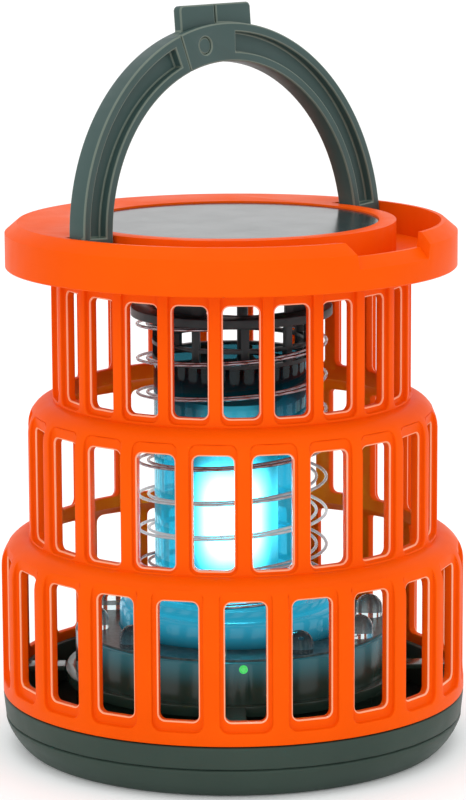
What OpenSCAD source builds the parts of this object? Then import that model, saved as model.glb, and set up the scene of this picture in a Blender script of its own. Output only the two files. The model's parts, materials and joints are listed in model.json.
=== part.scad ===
// Electric bug zapper shaped like a camping lantern: three stepped grille tiers over a
// twist-off tray, a solar cap with a folding two-part handle, and a lamp inside two
// wire coils. Millimetres, Z up, origin at the bottom centre of the feet. The handle
// pivots on the X axis and folds towards -Y. The controls are on the +Y side.

/* [Grille] */
// Outer radius of the lowest tier, which is also that of the base
low_r = 67.2; // [66.8:0.1:68]
// Outer radius of the middle tier
mid_r = 59.3; // [59:0.1:59.8]
// Outer radius of the top tier
top_r = 51.7; // [51.4:0.1:52.2]
// Windows around each tier
windows = 22; // [20:1:22]
// Direction of one window of the top and lowest tiers, in degrees
first_window = 228; // [220:1:236]
// Width of the lowest tier's windows
low_window_w = 11.3; // [10:0.1:11.6]
// Width of the middle tier's windows
mid_window_w = 11.2; // [10:0.1:11.4]
// Width of the top tier's windows
top_window_w = 9.9; // [9:0.1:10.1]
// Corner radius of the windows
window_corner = 1.8; // [1:0.1:2.4]
// How far the ribs stand proud of the panels between them
rib_h = 1.9; // [1:0.1:2]
// Thickness of the panels
panel_t = 2.2; // [2:0.1:2.4]
// Height of the rounded shoulder on top of the two lower tiers
shoulder_h = 9; // [8:0.5:9.5]

/* [Heights] */
// Height of the joint between the tray and the grille
seam_z = 15.6; // [15.4:0.1:15.8]
// Bottom of the lowest windows
low_sill = 22.4; // [22.2:0.1:23]
// Top of the lowest windows
low_head = 56; // [54:0.5:56]
// Height where the middle tier starts
mid_z = 61.8; // [61.4:0.1:62]
// Bottom of the middle windows
mid_sill = 63; // [62.8:0.1:64]
// Top of the middle windows
mid_head = 95; // [93:0.5:95.5]
// Height where the top tier starts
top_z = 101.8; // [101.4:0.1:102.2]
// Bottom of the top windows
top_sill = 104; // [103.6:0.1:105]
// Top of the top windows
top_head = 135; // [133:0.5:135.5]
// Underside of the cap
cap_z = 139.8; // [139.6:0.1:140]

/* [Cap] */
// Radius of the cap
cap_r = 64.7; // [64.5:0.1:64.9]
// Height of the cap
cap_h = 13; // [12.8:0.1:13.2]
// Radius of the solar panel
solar_r = 42; // [40:0.5:42]
// Inner radius of the groove that takes the folded handle
groove_in = 47.2; // [47:0.1:47.4]
// Outer radius of that groove
groove_out = 59.9; // [59.8:0.1:60]
// Depth of that groove below the top of the cap
groove_d = 9; // [8.8:0.1:9.4]

/* [Handle] */
// Inner radius of the handle's arch
arch_in = 48.7; // [48.5:0.1:48.9]
// Outer radius of the handle's arch
arch_out = 59.6; // [59.4:0.1:59.6]
// Width of the handle, across the arch
arch_w = 6.3; // [6:0.1:6.4]
// Angle that the standing handle leans back from upright
lean = 5; // [4:0.5:6]
// Height of the fold axis above the cap's underside
pivot_h = 9.2; // [9.1:0.1:9.3]
// Radius of the two pivot pins
pivot_r = 1.5; // [1.3:0.1:1.6]
// Height of the thumb tabs' top above the fold axis
tab_h = 65.1; // [64.5:0.1:65.4]

/* [Lamp] */
// Radius of the drum that holds the battery
drum_r = 46; // [45:0.1:46]
// Height of the drum's top
drum_top = 34; // [33:0.1:34]
// Radius of the raised boss on the drum
boss_r = 33; // [32:0.1:33]
// Height of the boss's top, which the clear tube stands on
boss_top = 42; // [42:0.1:42.4]
// Outer radius of the clear tube
tube_r = 22.6; // [22:0.1:22.8]
// Height of the clear tube's top
tube_top = 113; // [112.5:0.1:113]
// White lamp domes on the drum, which is also the number of posts in the crown
domes = 10; // [8:1:10]
// Radius of each lamp dome
dome_r = 3.9; // [3:0.1:4]

/* [Shock grid] */
// Radius of the outer coil
live_r = 27.3; // [27:0.1:27.6]
// Radius of the inner coil
return_r = 24.4; // [24.2:0.1:24.6]
// Rise of a coil over one turn
coil_pitch = 10; // [10:0.5:11]
// Radius of the coil wire
wire_r = 0.45; // [0.4:0.05:0.5]

/* [Hidden] */
$fn = 96;

eps = 0.01;
pitch = 360 / windows;
cap_top = cap_z + cap_h;
fold_z = cap_z + pivot_h;
in_step = rib_h + panel_t;
seam_gap = 0.3;
foot_z = seam_z + seam_gap;
// The grille is parted just inside the windows' ends, so that the bars are plain pieces
part_in = window_corner + 0.6;
flute_corner = 2.6;
low_flute_margin = 1.6;
mid_flute_margin = 1;
top_flute_margin = 0.8;

// Base
tray_floor_z = 3;
bowl_bottom_z = 0.3;
bowl_rim_z = 9;
bowl_rim_r = low_r - 0.6;
bowl_bend_z = bowl_rim_z - 0.4;
bowl_flat_r = 61;
bowl_round = 1.54;
base_chamfer = 0.4;
neck_out = 62.4;
neck_in = 60.4;
neck_top = 20.2;
lug_z = 17.3;
lug_h = 1.4;
lug_r = 64.7;
lug_span = 12;
lug_count = 4;
twist = 20;
track_r = 65;
track_gap = 0.3;
foot_r = 50;
pad_r = 5;

// Cap
floor_t = 1.8;
floor_r = 62.1;
rim_chamfer_w = 3.5;
rim_chamfer_h = 3;
deck_t = 2.2;
cavity_r = 45.2;
rear_cavity_r = 61;
rear_cavity_y = 9;
wall_in_y = 59;
recess_y = 61.4;
recess_w = 36;
recess_z = cap_z + 3.1;
recess_h = 7.2;
notch_half = 14.5;
notch_slope = 0.9;
notch_floor = fold_z - 0.2;
pin_end = 62;
boss_ring_r = 36;
grille_boss_r = 42.6;
boss_post_r = 3.2;
screw_r = 1.1;
head_r = 2.2;
head_h = 1.4;

// Controls, on the +Y side of the cap
control_z = cap_z + 6.65;
button_x = 9;
button_r = 3;
button_travel = 0.6;
port_x = -5;
port_w = 8.94;
port_h = 3.26;
cover_w = 12.6;
cover_t = 1.2;
cover_pivot_z = cap_z + 4.2;
cover_pivot_y = 62.4;
cover_h = 5.65;
cover_pin_r = 0.4;
board_t = 1.6;
board_z = cap_z + 3.4;

// Handle: angles run from the apex, positive towards +X
arch_mid = (arch_in + arch_out) / 2;
half_w = arch_w / 2;
knuckle_a = -17;
tongue_a = -0.3;
half_gap_a = 0.15;
lap_gap = 0.15;
clasp_a = -8.7;
clasp_r = 2.4;
tab_end = 14;
tab_gap = 0.5;
tab_corner = 1.5;
tab_low_left = 53;
tab_low_right = 56;
channel_w = 5.6;
channel_d = 2.8;
channel_right_a = 4.2;
channel_left_a = -20.5;
channel_foot_a = 86.2;

// Lamp and crown
crown_out = 22.9;
crown_in = 20.9;
crown_first = 234.5;
crown_post_a = 6;
crown_low_z = 114;
crown_ring_z = 117.4;
crown_high_z = 118.5;
head_z = 125.5;
head_t = 2.6;
plate_t = 2.5;
plate_r = 30;
hanger_first = 192;
hanger_a = 30;
ring_out = 29;
grid_foot_h = 2.4;
lamp_r = 13.2;
socket_r = 14.5;
lamp_low_z = 49;
lamp_high_z = 101;
dome_ring_r = 40.5;
coil_first = 214.6;
coil_low_z = 45;
coil_high_z = 125;
coil_steps = 24;
flange_out = 49;
flange_z = 19;
flange_h = 3.2;
arm_h = 1.4;
cell_r = 9.1;
cell_l = 65;
cell_z = 17;

// Colours
orange = [0.96, 0.38, 0.06];
slate = [0.28, 0.33, 0.32];
black = [0.07, 0.08, 0.08];
steel = [0.75, 0.75, 0.77];
green_board = [0.05, 0.3, 0.15];
white = [0.92, 0.93, 0.92];

// Points of a quarter ellipse about c, from [c.x + a, c.y] to [c.x, c.y + b]
function quarter(c, a, b, n = 7) =
    [for (i = [0:n]) [c.x + a * cos(90 * i / n), c.y + b * sin(90 * i / n)]];

// Points of a pie slice of radius r from angle a0 to a1
function pie(r, a0, a1, n = 6) =
    concat([[0, 0]], [for (i = [0:n]) r * [cos(a0 + (a1 - a0) * i / n), sin(a0 + (a1 - a0) * i / n)]]);

// One ring of points around a coil's wire at turn angle a and height z
function wire_ring(r, a, z, sides) =
    [for (k = [0:sides - 1])
        [(r + wire_r * cos(360 * k / sides)) * cos(a),
         (r + wire_r * cos(360 * k / sides)) * sin(a),
         z + wire_r * sin(360 * k / sides)]];

// Rounded rectangle, w by h, centred
module rounded(w, h, r) {
    square([w - 2 * r, h], center = true);
    square([w, h - 2 * r], center = true);
    for (sx = [-1, 1], sy = [-1, 1])
        translate([sx * (w / 2 - r), sy * (h / 2 - r)])
            circle(r = r);
}

// Solid ring between two radii
module ring(r_in, r_out, z, h) {
    translate([0, 0, z])
        linear_extrude(h)
            difference() {
                circle(r = r_out);
                circle(r = r_in);
            }
}

// Part of a ring between two angles
module ring_sector(r_in, r_out, z, h, a0, a1) {
    translate([0, 0, z])
        linear_extrude(h)
            intersection() {
                difference() {
                    circle(r = r_out);
                    circle(r = r_in);
                }
                polygon(pie(r_out * 1.2, a0, a1));
            }
}

// Rounded prisms that point outwards from radius r, one per window direction
module radial_cuts(r, z0, z1, w, corner, turn) {
    for (i = [0:windows - 1])
        rotate([0, 0, turn + i * pitch])
            translate([r, 0, (z0 + z1) / 2])
                rotate([90, 0, 90])
                    linear_extrude(20)
                        rounded(w, z1 - z0, corner);
}

// Wall of the whole grille: three tiers with a rounded shoulder on the lower two
module grille_profile() {
    outer = concat(
        [[low_r, foot_z]],
        quarter([mid_r, mid_z - shoulder_h], low_r - mid_r, shoulder_h),
        quarter([top_r, top_z - shoulder_h], mid_r - top_r, shoulder_h),
        [[top_r, cap_z]]);
    inner = concat(
        [[top_r - in_step, cap_z]],
        [for (i = [7:-1:0])
            quarter([top_r - in_step, top_z - shoulder_h], mid_r - top_r, shoulder_h - panel_t)[i]],
        [for (i = [7:-1:0])
            quarter([mid_r - in_step, mid_z - shoulder_h], low_r - mid_r, shoulder_h - panel_t)[i]],
        [[low_r - in_step, foot_z]]);
    polygon(concat(outer, inner));
}

// Windows and the flutes around them, for the tiers that reach into z0 to z1
module grille_cuts(z0, z1) {
    mid_turn = first_window + pitch / 2;
    if (z0 < low_head + 4) {
        radial_cuts(low_r - in_step - 3, low_sill, low_head, low_window_w, window_corner, first_window);
        radial_cuts(low_r - rib_h, low_sill - 2.8, low_head + 3.2,
            low_window_w + 2 * low_flute_margin, flute_corner, first_window);
    }
    if (z1 > mid_z && z0 < mid_head + 4) {
        radial_cuts(mid_r - in_step - 3, mid_sill, mid_head, mid_window_w, window_corner, mid_turn);
        radial_cuts(mid_r - rib_h, mid_z + 0.2, mid_head + 3.2,
            mid_window_w + 2 * mid_flute_margin, flute_corner, mid_turn);
    }
    if (z1 > top_z) {
        radial_cuts(top_r - in_step - 3, top_sill, top_head, top_window_w, window_corner, first_window);
        radial_cuts(top_r - rib_h, top_z + 0.2, cap_z + 5,
            top_window_w + 2 * top_flute_margin, flute_corner, first_window);
    }
}

// The grille between two heights
module grille_slice(z0, z1) {
    difference() {
        rotate_extrude()
            intersection() {
                grille_profile();
                translate([0, z0])
                    square([low_r + 1, z1 - z0]);
            }
        grille_cuts(z0, z1);
    }
}

// Screw with a flat round head, head down at z, shank upwards
module screw(z, l) {
    translate([0, 0, z])
        cylinder(r = head_r, h = head_h);
    translate([0, 0, z + head_h])
        cylinder(r = screw_r, h = l - head_h);
}

module base_bowl() {
    color(slate)
        difference() {
            rotate_extrude()
                polygon(concat(
                    [[0, bowl_bottom_z]],
                    [for (i = [0:12]) [
                        bowl_flat_r + (bowl_rim_r - bowl_flat_r) * pow(sin(7.5 * i), bowl_round),
                        bowl_bend_z - (bowl_bend_z - bowl_bottom_z) * pow(cos(7.5 * i), bowl_round)]],
                    [[bowl_rim_r - base_chamfer, bowl_rim_z], [64.6, bowl_rim_z]],
                    [for (i = [8:-1:0]) [
                        57.6 + 7 * sin(90 * i / 8),
                        bowl_bend_z - (bowl_bend_z - tray_floor_z) * cos(90 * i / 8)]],
                    [[0, tray_floor_z]]));
            for (a = [45:90:315])
                rotate([0, 0, a])
                    translate([foot_r, 0, bowl_bottom_z - 1])
                        cylinder(r = pad_r + 0.05, h = 1.6);
        }
}

module base_ring() {
    color(slate)
        difference() {
            union() {
                rotate_extrude()
                    polygon([
                        [bowl_rim_r - base_chamfer, bowl_rim_z + 0.05],
                        [bowl_rim_r, bowl_rim_z + base_chamfer],
                        [low_r, seam_z - base_chamfer], [low_r - base_chamfer, seam_z],
                        [neck_out, seam_z], [neck_out, neck_top - 0.4], [neck_out - 0.4, neck_top],
                        [neck_in, neck_top], [neck_in, 8.6], [62, 7.2], [64.2, 7.2],
                        [64.2, bowl_rim_z + 0.05]
                    ]);
                for (i = [0:lug_count - 1])
                    ring_sector(neck_out - 1, lug_r, lug_z, lug_h,
                        i * 90 - lug_span / 2, i * 90 + lug_span / 2);
            }
            ring(64.1, 65.5, seam_z - 1.3, 2);
        }
}

module neck_seal() {
    color(black)
        rotate_extrude()
            translate([64.8, seam_z - 0.65])
                circle(r = 0.62, $fn = 24);
}

module rubber_feet() {
    color(black)
        for (a = [45:90:315])
            rotate([0, 0, a])
                translate([foot_r, 0, 0])
                    cylinder(r = pad_r, h = bowl_bottom_z + 0.6);
}

// Foot band of the grille, with the track that the tray's lugs turn in
module grille_foot() {
    track_z = lug_z - track_gap;
    track_h = lug_h + 2 * track_gap;
    play = 0.8;
    color(orange)
        difference() {
            grille_slice(foot_z, low_sill + part_in);
            for (i = [0:lug_count - 1]) {
                ring_sector(low_r - in_step - 1, track_r, track_z, track_h,
                    i * 90 - lug_span / 2 - play, i * 90 + twist + lug_span / 2 + play);
                ring_sector(low_r - in_step - 1, track_r, foot_z - 1, track_z - foot_z + 1 + eps,
                    i * 90 + twist - lug_span / 2 - play, i * 90 + twist + lug_span / 2 + play);
            }
        }
}

module grille_low_bars() {
    color(orange)
        grille_slice(low_sill + part_in, low_head - part_in);
}

module grille_low_shoulder() {
    color(orange)
        grille_slice(low_head - part_in, mid_sill + part_in);
}

module grille_mid_bars() {
    color(orange)
        grille_slice(mid_sill + part_in, mid_head - part_in);
}

module grille_mid_shoulder() {
    color(orange)
        grille_slice(mid_head - part_in, top_sill + part_in);
}

module grille_top_bars() {
    color(orange)
        grille_slice(top_sill + part_in, top_head - part_in);
}

// Top band of the grille, with four screw bosses inside it
module grille_top_band() {
    boss_h = 5;
    color(orange)
        difference() {
            union() {
                grille_slice(top_head - part_in, cap_z);
                for (a = [45:90:315])
                    rotate([0, 0, a]) {
                        translate([grille_boss_r, 0, cap_z - boss_h])
                            cylinder(r = boss_post_r, h = boss_h);
                        translate([grille_boss_r, -boss_post_r, cap_z - boss_h])
                            cube([5.6, 2 * boss_post_r, boss_h]);
                    }
            }
            for (a = [45:90:315])
                rotate([0, 0, a])
                    translate([grille_boss_r, 0, cap_z - boss_h - 1])
                        cylinder(r = screw_r + 0.03, h = boss_h + 2);
        }
}

// Screws that hold the grille to the cap's floor, heads up inside the cap
module grille_screws() {
    color(steel)
        for (a = [45:90:315])
            rotate([0, 0, a])
                translate([grille_boss_r, 0, cap_z + floor_t + head_h])
                    mirror([0, 0, 1])
                        screw(0, head_h + floor_t + 4.4);
}

module cap_floor() {
    color(orange)
        difference() {
            union() {
                translate([0, 0, cap_z])
                    cylinder(r = floor_r, h = floor_t);
                for (x = [-14, 14], y = [33, 51])
                    translate([x, y, cap_z + floor_t])
                        cylinder(r = 2, h = board_z - cap_z - floor_t);
            }
            for (a = [45:90:315])
                rotate([0, 0, a]) {
                    translate([grille_boss_r, 0, cap_z - 1])
                        cylinder(r = screw_r + 0.2, h = floor_t + 2);
                    translate([boss_ring_r, 0, cap_z - 1])
                        cylinder(r = screw_r + 0.2, h = floor_t + 2);
                    translate([boss_ring_r, 0, cap_z - 1])
                        cylinder(r = head_r + 0.1, h = 1 + head_h - 0.2);
                }
            translate([0, 0, cap_z - 1])
                cylinder(r = 5, h = floor_t + 2);
        }
}

// Solid outline of the cap, chamfered at the top edge
module cap_blank() {
    rotate_extrude()
        polygon([
            [0, cap_z], [cap_r - 0.3, cap_z], [cap_r, cap_z + 0.3],
            [cap_r, cap_top - rim_chamfer_h], [cap_r - rim_chamfer_w, cap_top], [0, cap_top]
        ]);
}

// Groove for the folded handle: a half ring, and a pocket round each foot
module handle_groove() {
    groove_z = cap_top - groove_d;
    difference() {
        ring(groove_in, groove_out, groove_z, groove_d + 1);
        translate([-cap_r, 5, groove_z - 1])
            cube([2 * cap_r, cap_r, groove_d + 3]);
    }
}

// Dip in the outer rim that the thumb tabs lie in; the rim's chamfer carries on through it
module tab_notch() {
    low = notch_floor - rim_chamfer_h - 0.5;
    high = cap_top + 1;
    slant = notch_slope / (cap_top - notch_floor);
    difference() {
        translate([0, -groove_in - 4, 0])
            rotate([90, 0, 0])
                linear_extrude(20)
                    polygon([
                        [-notch_half + slant * (notch_floor - low), low],
                        [notch_half - slant * (notch_floor - low), low],
                        [notch_half + slant * (high - notch_floor), high],
                        [-notch_half - slant * (high - notch_floor), high]
                    ]);
        translate([0, 0, notch_floor - cap_top])
            cap_blank();
    }
}

// Hollow under the cap's top, and the wider one behind the controls
module cap_cavity() {
    z = cap_z + floor_t;
    translate([0, 0, z])
        cylinder(r = cavity_r, h = cap_top - 4 - z);
    translate([0, 0, z])
        linear_extrude(cap_top - deck_t - z)
            intersection() {
                circle(r = rear_cavity_r);
                translate([-cap_r, rear_cavity_y])
                    square([2 * cap_r, wall_in_y - rear_cavity_y]);
                difference() {
                    circle(r = cap_r);
                    circle(r = cavity_r - 1);
                }
            }
}

module cap_shell() {
    color(orange)
        difference() {
            union() {
                difference() {
                    cap_blank();
                    translate([0, 0, cap_z - 1])
                        cylinder(r = floor_r + 0.1, h = 1 + floor_t);
                    cap_cavity();
                    handle_groove();
                    tab_notch();
                    translate([0, 0, cap_top - 2.2])
                        cylinder(r = solar_r + 0.3, h = 3);
                    translate([-recess_w / 2 - 4, recess_y, recess_z])
                        cube([recess_w + 8, 10, recess_h]);
                }
                for (a = [45:90:315])
                    rotate([0, 0, a])
                        translate([boss_ring_r, 0, cap_z + floor_t])
                            cylinder(r = boss_post_r, h = cap_top - 4 - cap_z - floor_t + 0.5);
                for (x = [port_x - cover_w / 2 - 1.3, port_x + cover_w / 2 + 0.2])
                    translate([x, recess_y - 0.2, recess_z - 0.2])
                        cube([1.1, 2, 2.2]);
            }
            for (a = [45:90:315])
                rotate([0, 0, a])
                    translate([boss_ring_r, 0, cap_z])
                        cylinder(r = screw_r + 0.03, h = 8);
            for (turn = [0, 180])
                rotate([0, 0, turn])
                    translate([cavity_r - 1, 0, fold_z])
                        rotate([0, 90, 0])
                            cylinder(r = pivot_r + 0.02, h = pin_end - cavity_r + 1.2);
            translate([20, -12, cap_top - 5])
                cylinder(r = 2.5, h = 5);
            translate([button_x, wall_in_y - 1, control_z])
                rotate([-90, 0, 0])
                    cylinder(r = button_r + 0.15, h = 6);
            translate([port_x, wall_in_y - 1, control_z])
                rotate([-90, 0, 0])
                    linear_extrude(6)
                        rounded(port_w + 0.5, port_h + 0.5, 1.5);
            translate([port_x - cover_w, cover_pivot_y, cover_pivot_z])
                rotate([0, 90, 0])
                    cylinder(r = cover_pin_r + 0.01, h = 2 * cover_w, $fn = 24);
        }
}

// Screws that hold the cap's shell down on its floor, heads down
module cap_screws() {
    color(steel)
        for (a = [45:90:315])
            rotate([0, 0, a])
                translate([boss_ring_r, 0, 0])
                    screw(cap_z - 0.2, 7);
}

module solar_panel() {
    color([0.45, 0.52, 0.49])
        translate([0, 0, cap_top - 1.4])
            cylinder(r = solar_r, h = 0.9);
}

module panel_gasket() {
    color(black)
        ring(solar_r - 3, solar_r, cap_top - 2.2, 0.8);
}

module main_board() {
    color(green_board)
        translate([-17, 30, board_z])
            cube([34, 24, board_t]);
}

// Charging socket: a flat metal shell with a tongue inside
module usb_port() {
    depth = 7.3;
    color(steel)
        translate([port_x, wall_in_y - depth + 1.6, control_z])
            rotate([-90, 0, 0])
                difference() {
                    linear_extrude(depth)
                        rounded(port_w, port_h, 1.4);
                    translate([0, 0, 1])
                        linear_extrude(depth)
                            difference() {
                                rounded(port_w - 0.7, port_h - 0.7, 1.1);
                                square([6.6, 0.7], center = true);
                            }
                }
}

module tact_switch() {
    body_w = 6;
    color(black) {
        translate([button_x - body_w / 2, 49.6, board_z + board_t + 0.02])
            cube([body_w, 4.4, 3.8]);
        translate([button_x, 54, control_z])
            rotate([-90, 0, 0])
                cylinder(r = 1.5, h = 2.4);
    }
}

// Power button: a round key with a flange behind the wall and a stem to the switch
module mode_button() {
    color(slate)
        translate([button_x, 0, control_z])
            rotate([-90, 0, 0]) {
                translate([0, 0, 57.5])
                    cylinder(r = button_r + 0.8, h = 1.3);
                translate([0, 0, 57.2])
                    cylinder(r = 1.4, h = 1);
                translate([0, 0, 58])
                    cylinder(r = button_r, h = 4.6);
                translate([0, 0, 62.5])
                    cylinder(r1 = button_r, r2 = button_r - 0.5, h = 0.4);
            }
}

// Rubber flap over the charging socket, hinged along its lower edge
module port_cover() {
    color(black)
        difference() {
            union() {
                translate([port_x - cover_w / 2, cover_pivot_y - cover_t / 2, cover_pivot_z])
                    cube([cover_w, cover_t, cover_h]);
                translate([port_x - cover_w / 2, cover_pivot_y, cover_pivot_z])
                    rotate([0, 90, 0])
                        cylinder(r = 0.75, h = cover_w);
                translate([port_x - 3.4, cover_pivot_y - cover_t / 2 - 0.8, control_z - 0.8])
                    cube([6.8, 1, 1.6]);
            }
            translate([port_x - cover_w, cover_pivot_y, cover_pivot_z])
                rotate([0, 90, 0])
                    cylinder(r = cover_pin_r + 0.05, h = 2 * cover_w);
        }
}

module cover_pin() {
    color(steel)
        translate([port_x - cover_w / 2 - 1.3, cover_pivot_y, cover_pivot_z])
            rotate([0, 90, 0])
                cylinder(r = cover_pin_r, h = cover_w + 2.6);
}

module pivot_pins() {
    color(steel)
        for (turn = [0, 180])
            rotate([0, 0, turn])
                translate([cavity_r, 0, fold_z])
                    rotate([0, 90, 0])
                        cylinder(r = pivot_r, h = pin_end - cavity_r);
}

// Leans the handle's pieces back about the fold axis, as they stand
module leaned() {
    translate([0, 0, fold_z])
        rotate([-lean, 0, 0])
            translate([0, 0, -fold_z])
                children();
}

// Part of the arch's ring between two angles from the apex and two depths
module arch_piece(r_in, r_out, a0, a1, y0, y1) {
    translate([0, 0, fold_z])
        rotate([90, 0, 0])
            translate([0, 0, -y1])
                linear_extrude(y1 - y0)
                    intersection() {
                        difference() {
                            circle(r = r_out);
                            circle(r = r_in);
                        }
                        polygon(pie(r_out * 1.3, 90 - a1, 90 - a0, 12));
                    }
}

// Thumb tab on top of the arch from x0 to x1, with its outer top corner rounded
module tab(x0, x1, low) {
    translate([0, half_w, fold_z])
        rotate([90, 0, 0])
            linear_extrude(half_w - lap_gap)
                hull() {
                    translate([x0, low])
                        square([x1 - x0, tab_h - tab_corner - low]);
                    translate([x0, low])
                        square([x1 - x0 - tab_corner, tab_h - low]);
                    translate([x1 - tab_corner, tab_h - tab_corner])
                        circle(r = tab_corner);
                }
}

// Round foot of the handle about the fold axis, with its bore
module arch_foot(side) {
    translate([side * arch_mid, 0, fold_z])
        rotate([0, 90, 0])
            cylinder(r = half_w, h = arch_out - arch_in, center = true);
}

module foot_bore() {
    translate([-cap_r, 0, fold_z])
        rotate([0, 90, 0])
            cylinder(r = pivot_r + 0.06, h = 2 * cap_r);
}

module clasp_bore(r) {
    translate([arch_mid * sin(clasp_a), 0, fold_z + arch_mid * cos(clasp_a)])
        rotate([90, 0, 0])
            cylinder(r = r, h = 2 * arch_w, center = true);
}

// Longer half of the handle: its front plate laps over the other half's tongue
module handle_right() {
    color(slate)
        leaned()
            difference() {
                union() {
                    arch_piece(arch_in, arch_out, tongue_a, 90, -half_w, half_w);
                    arch_piece(arch_in, arch_out, knuckle_a, tongue_a + 1, -half_w, -lap_gap);
                    tab(0, tab_end, tab_low_right);
                    arch_foot(1);
                }
                arch_piece(arch_mid - channel_w / 2, arch_mid + channel_w / 2,
                    channel_right_a, channel_foot_a, -half_w - 1, -half_w + channel_d);
                foot_bore();
                clasp_bore(clasp_r + 0.02);
            }
}

// Shorter half of the handle: its tongue lies behind the other half's front plate
module handle_left() {
    color(slate)
        leaned()
            difference() {
                union() {
                    arch_piece(arch_in, arch_out, -90, knuckle_a - half_gap_a, -half_w, half_w);
                    arch_piece(arch_in, arch_out, knuckle_a - 1, tongue_a - half_gap_a, lap_gap, half_w);
                    mirror([1, 0, 0])
                        tab(tab_gap, tab_end, tab_low_left);
                    arch_foot(-1);
                }
                arch_piece(arch_mid - channel_w / 2, arch_mid + channel_w / 2,
                    -channel_foot_a, channel_left_a, -half_w - 1, -half_w + channel_d);
                foot_bore();
                clasp_bore(clasp_r + 0.02);
            }
}

module clasp_pin() {
    color(slate)
        leaned()
            intersection() {
                clasp_bore(clasp_r);
                translate([-cap_r, -half_w + 0.4, fold_z])
                    cube([2 * cap_r, arch_w - 0.8, cap_r]);
            }
}

module crown_plate() {
    color(black)
        difference() {
            translate([0, 0, cap_z - plate_t])
                cylinder(r = plate_r, h = plate_t - 0.02);
            translate([2.2, -2.2, cap_z - plate_t - 1])
                cylinder(r = 1.7, h = plate_t + 2);
        }
}

// Lattice on top of the tube: rows of openings between posts, and four wide hangers
module crown() {
    gap_w = 2 * crown_out * sin((360 / domes - crown_post_a) / 2);
    hang_w = 2 * crown_out * sin((90 - hanger_a) / 2);
    color(black)
        difference() {
            ring(crown_in, crown_out, tube_top, cap_z - plate_t - tube_top);
            for (i = [0:domes - 1])
                rotate([0, 0, crown_first + (i + 0.5) * 360 / domes]) {
                    translate([crown_in - 4, -gap_w / 2, crown_low_z])
                        cube([10, gap_w, crown_ring_z - crown_low_z]);
                    translate([crown_in - 4, -gap_w / 2, crown_high_z])
                        cube([10, gap_w, head_z - crown_high_z]);
                }
            for (i = [0:3])
                rotate([0, 0, hanger_first + 45 + i * 90])
                    translate([crown_in - 6, -hang_w / 2, head_z + head_t])
                        cube([12, hang_w, cap_z - plate_t - head_z - head_t - 1]);
        }
}

module grid_head() {
    color(black)
        ring(crown_out + 0.05, ring_out, head_z, head_t);
}

module grid_foot() {
    color(black)
        ring(crown_out, ring_out, boss_top, grid_foot_h);
}

// A coil of round wire, closed at both ends
module coil(r, first, sides) {
    rise = coil_high_z - coil_low_z;
    steps = round(rise / coil_pitch * coil_steps);
    rings = [for (i = [0:steps])
        wire_ring(r, first + i * 360 / coil_steps, coil_low_z + i * coil_pitch / coil_steps, sides)];
    points = [for (one = rings, p = one) p];
    sides_faces = [for (i = [0:steps - 1], k = [0:sides - 1])
        [i * sides + k, i * sides + (k + 1) % sides,
            (i + 1) * sides + (k + 1) % sides, (i + 1) * sides + k]];
    start = [for (k = [sides - 1:-1:0]) k];
    end = [for (k = [0:sides - 1]) steps * sides + k];
    polyhedron(points, concat([start], sides_faces, [end]), convexity = 10);
}

module grid_wire_live() {
    color(steel)
        coil(live_r, coil_first, 8);
}

module grid_wire_return() {
    color(steel)
        coil(return_r, coil_first, 6);
}

module light_tube() {
    color([0.45, 0.8, 0.85, 0.35])
        ring(tube_r - 1.6, tube_r, boss_top - 1.7, tube_top - boss_top + 1.7);
}

module lamp_socket() {
    color(black)
        translate([0, 0, boss_top])
            cylinder(r = socket_r, h = lamp_low_z - boss_top);
}

module lamp_diffuser() {
    color(white)
        ring(lamp_r - 1.4, lamp_r, lamp_low_z, lamp_high_z - lamp_low_z);
}

module lamp_cap() {
    color(black)
        translate([0, 0, lamp_high_z])
            cylinder(r = socket_r, h = 5);
}

// Upright strip that carries the violet lamp chips
module lamp_board() {
    color(white)
        rotate([0, 0, -45])
            translate([-7, -0.8, lamp_low_z])
                cube([14, 1.6, lamp_high_z - lamp_low_z]);
}

module uv_leds() {
    color([0.8, 0.85, 1])
        rotate([0, 0, -45])
            for (i = [0:5], side = [-1, 1])
                translate([-1.5, side * 1.4 - 0.6, lamp_low_z + 4 + i * 8])
                    cube([3, 1.2, 3.2]);
}

module lamp_stem() {
    color(black)
        translate([2.2, -2.2, lamp_high_z + 5])
            cylinder(r = 1.6, h = cap_z - 1 - lamp_high_z - 5);
}

module drum() {
    wall = 2;
    base_z = 4.3;
    color(black)
        difference() {
            union() {
                difference() {
                    rotate_extrude()
                        polygon([
                            [0, base_z], [drum_r, base_z], [drum_r, drum_top - 0.8],
                            [drum_r - 0.25, drum_top - 0.25], [drum_r - 0.8, drum_top], [0, drum_top]
                        ]);
                    translate([0, 0, base_z - 1])
                        cylinder(r = drum_r - wall, h = drum_top - wall - base_z + 1);
                }
                for (a = [0:90:270])
                    rotate([0, 0, a]) {
                        translate([drum_r - 5, 0, base_z + 2])
                            cylinder(r = 3, h = 8);
                        translate([drum_r - 5, -2, base_z + 2])
                            cube([4, 4, 8]);
                    }
            }
            for (a = [0:90:270])
                rotate([0, 0, a])
                    translate([drum_r - 5, 0, base_z])
                        cylinder(r = screw_r + 0.03, h = 9);
            rotate([0, 0, 228.5])
                translate([drum_r - 4, 0, drum_top - 1.8])
                    rotate([0, 90, 0])
                        cylinder(r = 1.25, h = 6);
        }
}

// Raised boss on the drum, with a seat for the clear tube
module drum_boss() {
    color(black)
        difference() {
            rotate_extrude()
                polygon(concat(
                    [[0, drum_top], [boss_r, drum_top]],
                    quarter([boss_r - 2, boss_top - 2], 2, 2, 4),
                    [[0, boss_top]]));
            ring(tube_r - 1.8, tube_r + 0.1, boss_top - 1.8, 3);
        }
}

module drum_flange() {
    color(black)
        ring(drum_r + 0.02, flange_out, flange_z, flange_h);
}

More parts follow.
